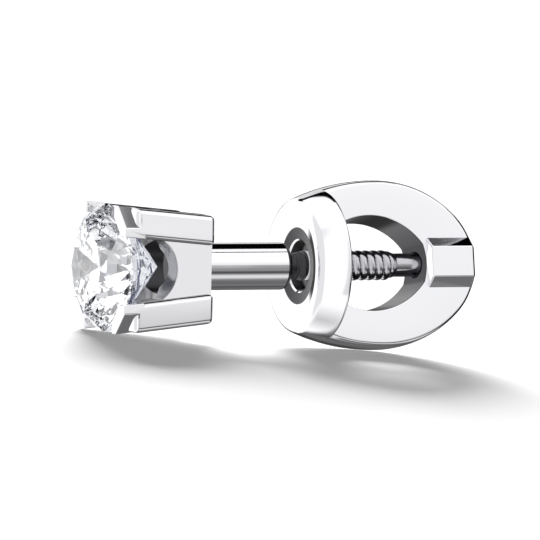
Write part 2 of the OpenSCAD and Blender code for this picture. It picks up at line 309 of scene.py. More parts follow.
settingMetal = newMaterial("rhodiumWhiteGoldPolished", polishedWhiteGold, polishedMetal)
nutMetal = newMaterial("rhodiumWhiteGoldPolishedNut", polishedWhiteGold, polishedMetal)

# The same gold where no polishing wheel has been, with fine tool marks that make its gloss wander.
toolMarks = {
    "size": 0.06,             # mm, coarser than the real ones so that they show
    "wandering": (0.3, 0.7),  # the noise's values from the glossiest to the dullest
}
# as turned and dull: the nut's sink, the hollow and the neck; its dark colour is painted shade, the shade of
# those recesses and gaps
turnedPaintedShade = {"colour": "#3c3c3f", "roughness": 0.34, "wander": 0.06}
# straight from the die: the rod and its thread, satin and a little darker than the polish
threadedMetal = {"colour": "#b8b8bc", "roughness": 0.16, "wander": 0.06}
# milled and only brushed: the seat under the stone and the arches, satin grey
milledMetal = {"colour": "#9a9a9c", "roughness": 0.2, "wander": 0.03}
# the window's inner wall, satin with a soft shine; its dark colour is painted shade inside the window
wallPaintedShade = {"colour": "#38383b", "roughness": 0.22, "wander": 0.03}


def cutWhiteGold(tree, values):
    place = addNode(tree, "ShaderNodeTexCoord").outputs["Object"]
    marks = addNode(
        tree, "ShaderNodeTexNoise", None,
        {"Vector": place, "Scale": 1 / (toolMarks["size"] * millimetre), "Detail": 2.0},
    )
    gloss = addNode(
        tree, "ShaderNodeMapRange", None,
        {
            "Value": marks.outputs["Fac"],
            "From Min": toolMarks["wandering"][0], "From Max": toolMarks["wandering"][1],
            "To Min": values["roughness"] - values["wander"],
            "To Max": values["roughness"] + values["wander"],
        },
    )
    return addNode(
        tree, "ShaderNodeBsdfPrincipled", None,
        {"Base Color": fromHex(values["colour"]), "Metallic": 1.0, "Roughness": gloss.outputs["Result"]},
    )


# dark as painted shade where the sink, the hollow, the neck and the first turns lie in shade
paintedShadeMetal = newMaterial("whiteGoldTurnedPaintedShade", cutWhiteGold, turnedPaintedShade)
threadMetal = newMaterial("whiteGoldThreadCut", cutWhiteGold, threadedMetal)
seatMetal = newMaterial("whiteGoldMilled", cutWhiteGold, milledMetal)
# dark as painted shade of the window's inside
innerWallPaintedShade = newMaterial("whiteGoldInnerWallPaintedShade", cutWhiteGold, wallPaintedShade)

# Diamond, cut and polished: clear, with strong bright and dark reflections in its facets.
diamond = {
    "colour": "#fbfcff",
    "ior": 2.418,
    "lines": 0.00012,    # mm, the height of the polishing lines, which bend the facets' light a very little
    "lineSize": 0.12,    # mm, far coarser than the real ones so that they have an effect at all
}


def cutDiamond(tree, values):
    place = addNode(tree, "ShaderNodeTexCoord").outputs["Object"]
    lines = addNode(
        tree, "ShaderNodeTexNoise", None,
        {"Vector": place, "Scale": 1 / (values["lineSize"] * millimetre), "Detail": 1.0},
    )
    bump = addNode(
        tree, "ShaderNodeBump", None,
        {"Strength": 1.0, "Distance": values["lines"] * millimetre, "Height": lines.outputs["Fac"]},
    )
    return addNode(
        tree, "ShaderNodeBsdfPrincipled", None,
        {
            "Base Color": fromHex(values["colour"]), "Roughness": 0.0, "IOR": values["ior"],
            "Transmission Weight": 1.0, "Normal": bump.outputs["Normal"],
        },
    )


stoneMaterial = newMaterial("diamondCutAndPolished", cutDiamond, diamond)
print("stage: materials made")

# The setting: a square block that tapers to the back, with four claws and set-back walls.
setting = {
    "width": 3.76, "depth": 3.02, "lean": 0.285, "clawGap": 1.98, "recess": 0.28,
    "tipCut": 0.63, "tipCutDepth": 0.38, "archRadius": 1.0, "archCentre": 0.87, "archSteps": 64,
    "hollowRadius": 0.8, "backPlate": 0.6, "seatSides": 96,
    "clawEdge": (0.16, 4),   # how round the claws' long edges are, and in how many steps
    "tipEdge": (0.03, 4),
    "archEdge": (0.03, 3),
    "archLip": (0.9, 1.9),   # from where to where along the block that edge runs
    "cornerDrop": 0.02,      # what polishing has taken off towards the outer corners
    "tipOverlap": 0.3,       # how far the cut tips run on into the claws
    "tipClosing": 0.01,      # in each mm, so that a tip's sides don't lie exactly on its claw's
    "wallFrom": 0.02,        # the walls start this far behind the claw tips
    "wallCorner": 0.35,      # cut off the walls' corners, which stay inside the claws' cut tips
    "innerLine": 1.8,        # from the axis to the claws' straight inner edge in front of the stone
    "innerLineClear": 0.013,   # from the end of that cut to the seat's widest part
    "milledFrom": 0.28,      # how deep the seat's milled part starts
    "finishMargin": 0.01,    # a face this close to a turned or milled surface belongs to it
}
stone = {
    "diameter": 3.74, "table": 0.57, "crown": 0.155, "girdle": 0.028, "pavilion": 0.43,
    "girdleDepth": 0.16, "seatGap": 0.02,
    "lowRing": 0.24,         # share of the radius at which the lower halves end
    "rimSteps": 8,           # on the rim of each upper and lower half
}
past = 0.5                   # what a cutter runs past what it cuts
blockHalf = setting["width"] / 2
wallHalf = blockHalf - setting["recess"]
gapHalf = setting["clawGap"] / 2
slope = setting["lean"] / setting["depth"]   # what each side closes in for each mm of depth


def clawOutline(x):
    outer, inner = blockHalf - slope * x, gapHalf - slope * x
    corner = outer - setting["cornerDrop"]
    return [(x, inner, inner), (x, outer, inner), (x, corner, corner), (x, inner, outer)]


def tipOutline(x):
    # as the claw's, with its outer corner cut off
    closing = setting["tipClosing"] * x
    outer, inner = blockHalf - slope * x - closing, gapHalf - slope * x + closing
    edge = blockHalf - setting["tipCut"]
    return [(x, inner, inner), (x, outer, inner), (x, outer, edge), (x, edge, outer), (x, inner, outer)]


def clawMeshes(quarter):
    cutAt = setting["tipCutDepth"]
    claw = block("claw", clawOutline(cutAt), clawOutline(setting["depth"]))
    tip = block("clawTip", tipOutline(0), tipOutline(cutAt + setting["tipOverlap"]))
    roundEdges(claw, setting["clawEdge"])
    roundEdges(tip, setting["tipEdge"])
    return [quarterTurned(claw, quarter), quarterTurned(tip, quarter)]


def wallOutline(x):
    wide = wallHalf - slope * x
    cut = wide - setting["wallCorner"]
    return [
        (x, -cut, -wide), (x, cut, -wide), (x, wide, -cut), (x, wide, cut),
        (x, cut, wide), (x, -cut, wide), (x, -wide, cut), (x, -wide, -cut),
    ]


def archOutline(across):
    # along one claw, round the arch, which is no wider than the gap, and back along the other claw
    mouth = gapHalf + past * slope
    outline = [(-past, across, mouth)]
    for k in range(setting["archSteps"] + 1):
        angle = math.pi / 2 - math.pi * k / setting["archSteps"]
        x = setting["archCentre"] + setting["archRadius"] * math.cos(angle)
        limit = gapHalf - x * slope
        outline.append((x, across, max(-limit, min(limit, setting["archRadius"] * math.sin(angle)))))
    return outline + [(-past, across, -mouth)]


def onArchLip(edge):
    # whether the arch comes out of a wall's outer face at this edge
    ends = [v.co for v in edge.verts]
    low, high = setting["archLip"]
    for axis, other in ((1, 2), (2, 1)):
        onFace = all(abs(abs(p[axis]) - (wallHalf - slope * p.x)) < meshing["touch"] for p in ends)
        if onFace and all(abs(p[other]) < gapHalf for p in ends):
            return all(low < p.x < high for p in ends) and isSharp(edge)
    return False


def wallsMesh():
    # the walls between the claws, with the openings through them
    walls = block("walls", wallOutline(setting["wallFrom"]), wallOutline(setting["depth"]))
    arches = [
        quarterTurned(block("arch", archOutline(-setting["width"]), archOutline(setting["width"])), quarter)
        for quarter in range(2)
    ]
    return roundEdges(combined("walls", "DIFFERENCE", walls, arches), setting["archEdge"], onArchLip)


def seatLine():
    # the stone's own outline with a small gap, and the hollow under it
    radius, gap = stone["diameter"] / 2, stone["seatGap"]
    wide, hollow = radius + gap, setting["hollowRadius"]
    crownRun = (radius - radius * stone["table"]) / (stone["diameter"] * stone["crown"])
    front = stone["girdleDepth"] - gap
    back = stone["girdleDepth"] + stone["diameter"] * stone["girdle"] + gap
    hollowFrom = back + (wide - hollow) * (stone["pavilion"] * stone["diameter"] / radius)
    hollowTo = setting["depth"] - setting["backPlate"]
    return [
        (-past, 0), (-past, wide - (front + past) * crownRun), (front, wide), (back, wide),
        (hollowFrom, hollow), (hollowTo, hollow), (hollowTo, 0),
    ]


def innerLineOutline(x):
    # a square on its corner, whose sides are the claws' straight inner edges
    corner = setting["innerLine"] * math.sqrt(2)
    return [(x, corner, 0), (x, 0, corner), (x, -corner, 0), (x, 0, -corner)]


def settingMesh():
    claws = [mesh for quarter in range(4) for mesh in clawMeshes(quarter)]
    body = combined("setting", "UNION", wallsMesh(), claws)
    lineTo = stone["girdleDepth"] - stone["seatGap"] - setting["innerLineClear"]
    line = block("innerLine", innerLineOutline(-past), innerLineOutline(lineTo))
    seat = turned("seat", seatLine(), setting["seatSides"])
    return combined("setting", "DIFFERENCE", body, [line, seat])


def settingFinish(face):
    # polished outside, dull and dark with painted shade in the hollow, milled on the arches and the seat
    x, y, z = face.center
    out, margin = math.hypot(y, z), setting["finishMargin"]
    hollow, hollowFloor = setting["hollowRadius"], setting["depth"] - setting["backPlate"]
    if abs(out - hollow) < margin or (out < hollow and x < hollowFloor + margin):
        return 1
    fromArch = min(abs(math.hypot(x - setting["archCentre"], p) - setting["archRadius"]) for p in (y, z))
    if fromArch < 2 * margin and max(abs(y), abs(z)) < wallHalf:
        return 2
    facesAxis = face.normal.y * y + face.normal.z * z < 0
    return 2 if facesAxis and out < stone["diameter"] / 2 and x > setting["milledFrom"] else 0


settingBody = settingMesh()
giveFinishes(settingBody, settingFinish)
addPiece(
    "clawSetting", settingBody, studPlace, "stud", "claw_setting",
    [settingMetal, paintedShadeMetal, seatMetal], mirrored=False,
)

# The post with its neck, the screw thread and the smooth tip, as one turned line with a helix on it.
post = {
    "from": 2.85, "radius": 0.7, "end": 5.98, "endRound": 0.3, "endLean": 0.01,
    "neckRadius": 0.37, "neckEnd": 6.25, "neckRound": 0.04, "step": 0.02,
    "threadRadius": 0.45, "rootRadius": 0.36, "pitch": 0.25, "turns": 14,
    "crestShape": 0.3,      # the power that makes the crests broad and the grooves between them narrow
    "tipRadius": 0.35, "tipEnd": 10.6, "tipRound": 0.09,
    "sides": 96, "stepsPerTurn": 20, "roundSteps": 6,
    "paintedShadeFrom": 5.74,     # the end's rounding, the neck and the first turns are dull and dark, painted shade of the gap and the sink
    "dieFrom": 6.6,
}


def postMesh():
    threadFrom, pitch, root = post["neckEnd"], post["pitch"], post["rootRadius"]
    threadTo = threadFrom + pitch * (post["turns"] - 1)
    line = roundCorners([
        (post["from"], 0, 0),
        (post["from"], post["radius"], 0),
        (post["end"], post["radius"], post["endRound"]),
        (post["end"] + post["endLean"], post["neckRadius"], post["neckRound"]),
        (threadFrom - post["step"], post["neckRadius"], post["step"]),
        (threadFrom, root, 0),
    ], post["roundSteps"])
    stepLength = pitch / post["stepsPerTurn"]
    count = round((threadTo - threadFrom) / stepLength)
    line += [(threadFrom + stepLength * k, root) for k in range(1, count)]
    line += roundCorners([
        (threadTo, root, 0),
        (threadTo + post["step"], post["tipRadius"], post["step"]),
        (post["tipEnd"], post["tipRadius"], post["tipRound"]),
        (post["tipEnd"], 0, 0),
    ], post["roundSteps"])

    def threaded(x, r, angle):
        if not threadFrom < x < threadTo:
            return r
        turn = (x - threadFrom) / pitch + angle / (2 * math.pi)
        fade = min(1, (x - threadFrom) / pitch, (threadTo - x) / pitch)
        crest = abs(math.sin(math.pi * turn)) ** post["crestShape"]
        return r + (post["threadRadius"] - root) * crest * fade

    return turned("post", line, post["sides"], threaded)


def postFinish(face):
    # from here to the die's part the post has the dark painted shade
    if face.center.x < post["paintedShadeFrom"]:
        return 0
    return 1 if face.center.x < post["dieFrom"] else 2


postBody = postMesh()
giveFinishes(postBody, postFinish)
addPiece(
    "postAndThread", postBody, studPlace, "stud", "claw_setting",
    [settingMetal, paintedShadeMetal, threadMetal], mirrored=False,
)


def brilliantMesh():
    # table, 8 stars, 8 bezels, 16 upper halves, a girdle, 16 lower halves and 8 mains
    radius = stone["diameter"] / 2
    tableRadius = radius * stone["table"]
    crown = stone["diameter"] * stone["crown"]
    girdleFront = stone["girdleDepth"]
    girdleBack = girdleFront + stone["diameter"] * stone["girdle"]
    culet = girdleBack + stone["diameter"] * stone["pavilion"]
    fold = math.pi / 4         # from one bezel to the next
    hair = 1e-6                # of an angle
    tableX = girdleFront - crown
    starRadius = (tableRadius + radius) / 2
    starX = tableX + (starRadius * math.cos(fold / 2) - tableRadius) * crown / (radius - tableRadius)
    lowRadius = radius * stone["lowRing"]
    lowX = culet - lowRadius * math.cos(fold / 2) * (culet - girdleBack) / radius
    steps = stone["rimSteps"]
    rim = 16 * steps           # points round the rim

    def at(x, r, angle):
        return Vector((x, r * math.sin(angle), r * math.cos(angle)))

    def planeX(a, b, c, angle):
        # where the plane through three points meets the rim
        normal = (b - a).cross(c - a)
        place = at(0, radius, angle)
        return (normal.dot(a) - normal.y * place.y - normal.z * place.z) / normal.x

    def edgeX(angle, innerX, innerRadius, rimX):
        # where the rim's edge is, which waves between the corners that the facets share
        turn = math.floor(angle / fold + hair)
        within = angle - turn * fold
        middle = turn * fold + fold / 2
        corner = turn * fold if within <= fold / 2 else (turn + 1) * fold
        if min(abs(within), abs(within - fold / 2), abs(within - fold)) < hair:
            return rimX
        inner, side, end = at(innerX, innerRadius, middle), at(rimX, radius, middle), at(rimX, radius, corner)
        return planeX(inner, side, end, angle)

    rimAngles = [2 * math.pi * i / rim for i in range(rim)]
    points = [at(tableX, tableRadius, i * fold) for i in range(8)]
    points += [at(starX, starRadius, i * fold + fold / 2) for i in range(8)]
    points += [at(edgeX(angle, starX, starRadius, girdleFront), radius, angle) for angle in rimAngles]
    points += [at(edgeX(angle, lowX, lowRadius, girdleBack), radius, angle) for angle in rimAngles]
    points += [at(lowX, lowRadius, i * fold + fold / 2) for i in range(8)]
    points.append(Vector((culet, 0, 0)))
    # where each of those rings of points starts, after the table's
    star, upper, lower, low, tip = 8, 16, 16 + rim, 16 + 2 * rim, 24 + 2 * rim
    faces = [tuple(range(8))]
    for i in range(8):
        after = (i + 1) % 8
        corner = (2 * (i + 1) * steps) % rim
        faces.append((i, after, star + i))
        faces.append((after, star + after, upper + corner, star + i))
        faces.append((tip, low + i, lower + corner, low + after))
        for half in range(2):
            run = [(2 * i * steps + half * steps + k) % rim for k in range(steps + 1)]
            faces.append(tuple([star + i] + [upper + k for k in run]))
            faces.append(tuple([low + i] + [lower + k for k in run]))
    faces += [(upper + i, upper + (i + 1) % rim, lower + (i + 1) % rim, lower + i) for i in range(rim)]
    return meshFrom("brilliant", [tuple(p) for p in points], faces)


addPiece(
    "roundBrilliant", brilliantMesh(), studPlace, "stud", "stone", [stoneMaterial], smooth=False,
)

# The nut: a rounded ring in front, the bow round its window, and the hub behind.
nut = {
    "place": 6.21, "turn": 10, "radius": 2.52, "widest": 2.67, "frontArc": 6.35, "sideArc": 3.65,
    "endCentre": 3.74, "disc": 0.95, "bow": 1.3, "bore": 0.475, "sides": 192,
    "rimRadius": 0.3, "rimSteps": 28, "sideSteps": 10, "dish": 0.17,
    "backEdge": 0.2, "backRound": 0.16, "backStep": 0.3, "backSteps": 5,
    "sinkRadius": 1.15, "sinkFloor": 0.74, "sinkDepth": 0.65, "sinkSteps": 4,
    "mouthBevel": 0.02,             # at the sink's mouth
    "ledge": 0.24,                  # depth of the small step in the sink
    "ledgeBevel": (0.05, 0.04),     # along and out
    "wallLean": 0.02,               # the wall behind that step widens by this to the front
    "floorRound": 0.03,
    "finishMargin": 0.005,          # from the polished faces to the turned ones
}
nutPlace = (
    studPlace
    @ Matrix.Translation((nut["place"], 0, 0))
    @ Matrix.Rotation(-math.radians(nut["turn"]), 4, "X")
)
# the egg: a long arc up to its widest place, a side arc, and the ball-shaped end that runs on from it
centresApart = math.hypot(nut["endCentre"] - nut["widest"], nut["sideArc"] - nut["radius"])
endRadius = nut["sideArc"] - centresApart
sideEnd = nut["widest"] + (nut["endCentre"] - nut["widest"]) * nut["sideArc"] / centresApart


def eggRadius(x):
    # the nut's outer radius at a place along it
    if x >= sideEnd:
        return math.sqrt(max(0, endRadius ** 2 - (x - nut["endCentre"]) ** 2))
    arc = nut["frontArc"] if x < nut["widest"] else nut["sideArc"]
    return nut["radius"] - arc + math.sqrt(arc ** 2 - (x - nut["widest"]) ** 2)


def ringLine():
    # bore, sink, flat slope up to the crest, rounded rim, egg side and back face
    rim, arc, disc, bore = nut["rimRadius"], nut["frontArc"], nut["disc"], nut["bore"]
    rimAt = math.sqrt((arc - rim) ** 2 - (nut["widest"] - rim) ** 2) - (arc - nut["radius"])
    rimEnd = nut["widest"] - (nut["widest"] - rim) * arc / (arc - rim)
    # the flat's angle, so that it runs tangent to the rim; each round brings it closer
    lean = 0.0
    for _ in range(meshing["rounds"]):
        lean = math.asin((rim - (rim - nut["dish"]) * math.cos(lean)) / (rimAt - nut["sinkRadius"]))
    wall, bevel = nut["sinkFloor"] + nut["wallLean"], nut["mouthBevel"]
    line = [(disc, bore)]
    line += roundCorners([
        (nut["sinkDepth"], bore, 0),
        (nut["sinkDepth"], nut["sinkFloor"], nut["floorRound"]),
        (nut["ledge"] + nut["ledgeBevel"][0], wall, 0),
        (nut["ledge"], wall + nut["ledgeBevel"][1], 0),
        (nut["dish"] + bevel, nut["sinkRadius"] - bevel / 2, 0),
        (nut["dish"], nut["sinkRadius"] + bevel, 0),
    ], nut["sinkSteps"])
    stop = math.asin((rim - rimEnd) / rim)
    for k in range(nut["rimSteps"] + 1):
        angle = -lean + (math.pi / 2 - stop + lean) * k / nut["rimSteps"]
        line.append((rim * (1 - math.cos(angle)), rimAt + rim * math.sin(angle)))
    sideTo = disc - nut["backEdge"]
    side = [rimEnd + (sideTo - rimEnd) * k / nut["sideSteps"] for k in range(1, nut["sideSteps"] + 1)]
    line += [(x, eggRadius(x)) for x in side]
    line += roundCorners([
        (sideTo, eggRadius(sideTo), 0),
        (disc, eggRadius(disc), nut["backRound"]),
        (disc, bore + nut["backStep"], 0),
    ], nut["backSteps"])[1:]
    return line


def ringFinish(face):
    # the sink is dull and dark with painted shade, except for the narrow bright edge of the step in it, which
    # stays polished
    margin = nut["finishMargin"]
    radius = math.hypot(face.center.y, face.center.z)
    behindFace = nut["dish"] + margin < face.center.x < nut["disc"] - margin
    inSink = behindFace and radius < nut["sinkRadius"] - margin
    wall = nut["sinkFloor"] + nut["wallLean"]
    brightEdge = wall - margin < radius < wall + nut["ledgeBevel"][1] + margin
    return 1 if inSink and not brightEdge else 0


ringBody = turned("ring", ringLine(), nut["sides"], closed=True)
giveFinishes(ringBody, ringFinish)
addPiece("nutRing", ringBody, nutPlace, "nut", "screw_nut", [nutMetal, paintedShadeMetal], mirrored=False)

# The bow's window, between two flat arcs and two round ends.
window = {"centre": 2.33, "radius": 1.8, "sideArc": 2.14, "halfHeight": 1.415}
bow = {
    "from": 0.78, "stations": 180, "fineSteps": 600, "acrossSteps": 10, "cornerSteps": 4, "taper": 0.11,
    "innerRound": 0.035, "outerRound": 0.1, "outerRoundAtRing": 0.14, "ringRoundEnds": 1.9,
    "crown": 0.002,        # how much higher the flats are in the middle
    "wrapFrom": 0.3,       # how far behind the end's centre the outer edges start to follow the round end
    "wrapLength": 1.0,
    "polishedEdge": 0.012,   # the part of the window's rounded edge that the wheel reaches
    "wallMargin": 0.02,    # a face this close to the window's wall belongs to it
}
# The hole in the bow and the hub that takes the rod's tip.
rodHole = {"from": 3.54, "to": 5.26, "radius": 0.4, "sides": 64}


def windowHeight(x):
    # half the height of the window at a place along the nut
    away = x - window["centre"]
    side = math.sqrt(max(0, window["sideArc"] ** 2 - away ** 2)) - (window["sideArc"] - window["halfHeight"])
    end = math.sqrt(max(0, window["radius"] ** 2 - away ** 2))
    return max(0, min(side, end))


def resampled(line, count):
    # the same line with its points at equal distances
    lengths = [0]
    for a, b in zip(line, line[1:]):
        lengths.append(lengths[-1] + math.dist(a, b))
    even, i = [], 0
    for k in range(count + 1):
        goal = lengths[-1] * k / count
        while i < len(line) - 2 and lengths[i + 1] < goal:
            i += 1
        share = (goal - lengths[i]) / (lengths[i + 1] - lengths[i])
        even.append(tuple(a + (b - a) * share for a, b in zip(line[i], line[i + 1])))
    return even


def thereAndBack(end, heightAt):
    # the line over the top to the nut's far end, and the same one below, back to the ring
    fine = bow["fineSteps"]
    shares = [1 - (1 - k / fine) ** 2 for k in range(fine + 1)]
    places = [bow["from"] + (end - bow["from"]) * share for share in shares]
    line = resampled([(x, heightAt(x)) for x in places], bow["stations"] // 2)
    return line + [(x, -r) for x, r in reversed(line[:-1])]


def eggPoint(x, r, across):
    # the point of the egg's surface that lies across from a point of its outline
    blend = min(1, max(0, (x - nut["endCentre"] - bow["wrapFrom"]) / bow["wrapLength"]))
    blend = blend * blend * (3 - 2 * blend)
    narrower = math.sqrt(endRadius ** 2 - across ** 2) / endRadius
    moved = x - blend * (x - nut["endCentre"]) * (1 - narrower)
    if blend == 1:
        return moved, r * narrower
    return moved, math.copysign(math.sqrt(max(0.0, eggRadius(moved) ** 2 - across ** 2)), r)


def bowCorner(side, radius):
    # a rounded corner of the bow's section, as (across, drop), from the flat on that side
    edge = nut["bow"] / 2 - radius
    return [
        (side * (edge + radius * math.cos(angle)), radius - radius * math.sin(angle))
        for angle in quarterArc(bow["cornerSteps"])
    ]


def outerSide(x):
    # the section's outer side, whose corners are rounder near the ring
    near = max(0.0, min(1.0, (bow["ringRoundEnds"] - x) / (bow["ringRoundEnds"] - nut["disc"])))
    radius = bow["outerRound"] + (bow["outerRoundAtRing"] - bow["outerRound"]) * near * near
    edge, steps = nut["bow"] / 2 - radius, bow["acrossSteps"]
    flat = [(-edge + 2 * edge * k / steps, 0) for k in range(1, steps)]
    return bowCorner(-1, radius) + flat + bowCorner(1, radius)[::-1]


def bowSection(outer, inner):
    # over the outer side, down one flat, back along the inner side and up the other flat
    wide, inside = nut["bow"] / 2, Vector(inner)
    outward = (Vector(outer) - inside).normalized()
    middle = (Vector(outer) + inside) / 2
    centre = Vector((window["centre"], 0))
    points = []
    for across, drop in outerSide(outer[0]):
        x, r = eggPoint(*outer, across)
        points.append((x - outward.x * drop, across, r - outward.y * drop))
    points.append((middle.x, wide + bow["crown"], middle.y))
    innerSide = bowCorner(1, bow["innerRound"]) + [(0, 0)] + bowCorner(-1, bow["innerRound"])[::-1]
    for across, drop in innerSide:
        place = inside + outward * drop
        place += (centre - place).normalized() * bow["taper"] * (across + wide) / (2 * wide)
        points.append((place.x, across, place.y))
    points.append((middle.x, -wide - bow["crown"], middle.y))
    return points


def rodHoleMesh():
    low, high, radius = rodHole["from"], rodHole["to"], rodHole["radius"]
    return turned("rodHole", [(low, 0), (low, radius), (high, radius), (high, 0)], rodHole["sides"])


def bowMesh():
    # a strip that follows the egg outside and the window inside, from the ring round the end to the ring
    outer = thereAndBack(nut["endCentre"] + endRadius, eggRadius)
    inner = thereAndBack(window["centre"] + window["radius"], windowHeight)
    sections = [bowSection(a, b) for a, b in zip(outer, inner)]
    points = [point for section in sections for point in section]
    sides = len(sections[0])
    faces = loftFaces(len(sections), sides)
    faces.append(tuple(range(sides)))
    faces.append(tuple(range(len(points) - 1, len(points) - sides - 1, -1)))
    return combined("bow", "DIFFERENCE", meshFrom("bow", points, faces), [rodHoleMesh()])


def bowFinish(face):
    # the window's wall gets the dark painted shade, the rest stays polished
    x, y, z = face.center
    near = bow["taper"] + bow["wallMargin"]
    betweenFlats = abs(y) < nut["bow"] / 2 - bow["polishedEdge"]
    inCircle = math.hypot(x - window["centre"], z) < window["radius"] + near
    return 1 if betweenFlats and inCircle and abs(z) < windowHeight(x) + near else 0


bowBody = bowMesh()
giveFinishes(bowBody, bowFinish)
addPiece("nutBow", bowBody, nutPlace, "nut", "screw_nut", [nutMetal, innerWallPaintedShade])

# The hub: a block with sloped shoulders whose end is part of the egg.
hub = {
    "place": 4.14, "width": 2.1, "face": 0.9, "root": 1.48,
    "edgeRound": 0.05,     # of both ends, in mm and as a share of the width
    # the rounding's line in shares of that: how far in from the side, and how deep
    "edgeLine": ((1, 0), (0.6, 0.13), (0.3, 0.3), (0.08, 0.65), (0, 1)),
    "cornerRound": 0.05, "footRound": 0.03, "roundSteps": 4,
    "sink": 0.06,          # how far the shoulders run on into the bow
    "proud": 0.006,        # how far its end lies over the bow's, so that the two don't flicker
    "netting": (0.8, 0.6, 0.4, 0.2),   # shares of its width at which the round end has rings of points
}


def hubMesh():
    side, face, bowHalf = hub["width"] / 2, hub["face"] / 2, nut["bow"] / 2
    slant = (hub["root"] / 2 - face) / (side - bowHalf)
    foot = bowHalf - hub["sink"]
    top = face + slant * (side - foot)
    outer, inner = hub["cornerRound"], hub["footRound"]
    outline = roundCorners([
        (side, -face, outer), (side, face, outer), (foot, top, inner), (-foot, top, inner),
        (-side, face, outer), (-side, -face, outer), (-foot, -top, inner), (foot, -top, inner),
    ], hub["roundSteps"], closed=True)

    def endAt(y, z):
        return nut["endCentre"] + math.sqrt((endRadius + hub["proud"]) ** 2 - y * y - z * z)

    # each ring is the outline at a share of its size, and lies that deep inside the block's end
    e = hub["edgeRound"]
    edge = [(1 - inward * e, depth * e) for inward, depth in hub["edgeLine"]]
    netting = [(share, 0) for share in hub["netting"]]
    front, back = netting[1::-1] + edge, edge[::-1] + netting
    points = [(hub["place"] + depth, y * share, z * share) for share, depth in front for y, z in outline]
    for share, depth in back:
        points += [(endAt(y * share, z * share) - depth, y * share, z * share) for y, z in outline]
    points.append((endAt(0, 0), 0, 0))
    count, rings = len(outline), len(front) + len(back)
    last = (rings - 1) * count
    faces = loftFaces(rings, count)
    faces.append(tuple(range(count)))
    faces += [(last + k, last + (k + 1) % count, len(points) - 1) for k in range(count)]
    return combined("hub", "DIFFERENCE", meshFrom("hub", points, faces), [rodHoleMesh()])


addPiece("nutHub", hubMesh(), nutPlace, "nut", "screw_nut", [nutMetal])

# The studio: a plain pale table top, lit by two soft lamps that the metal doesn't mirror.
studio = {
    "tableSize": 30.0,       # metres, so that its edge is at the horizon
    "tableDrop": 0.01,       # mm that it lies below the stud, so that the two don't flicker
    "paperColour": "#ececec",
    # each lamp's direction and size are in degrees, as for the tent below
    "topLamp": {"across": 0, "up": 80, "angle": 150, "strength": 1.2},
    "backLamp": {"across": 22, "up": 7.5, "angle": 11, "strength": 26.0},   # low, so the shadow comes forward
}


def mattePaper(tree, values):
    # matte white paper, which has no shine at all
    return addNode(
        tree, "ShaderNodeBsdfPrincipled", None,
        {"Base Color": fromHex(values["paperColour"]), "Roughness": 1.0, "Specular IOR Level": 0.0},
    )


def addTable():
    reach = studio["tableSize"] / 2
    corners = [(-reach, -reach, 0), (reach, -reach, 0), (reach, reach, 0), (-reach, reach, 0)]
    mesh = bpy.data.meshes.new("tableTop")
    mesh.from_pydata(corners, [], [(0, 1, 2, 3)])
    mesh.materials.append(newMaterial("matteWhitePaper", mattePaper, studio))
    table = looseObject("tableTop", mesh)
    table.location.z = -studio["tableDrop"] * millimetre
    table.visible_glossy = False


def pointing(across, up):
    # a direction, from degrees across and degrees of height
    across, up = math.radians(across), math.radians(up)
    return Vector((math.sin(across) * math.cos(up), math.cos(across) * math.cos(up), math.sin(up)))


def addLamp(name, values):
    data = bpy.data.lights.new(name, "SUN")
    data.energy = values["strength"]
    data.angle = math.radians(values["angle"])
    lamp = looseObject(name, data)
    lamp.rotation_euler = pointing(values["across"], values["up"]).to_track_quat("Z", "Y").to_euler()
    lamp.visible_glossy = False
    lamp.visible_transmission = False


addTable()
for name in ("topLamp", "backLamp"):
    addLamp(name, studio[name])

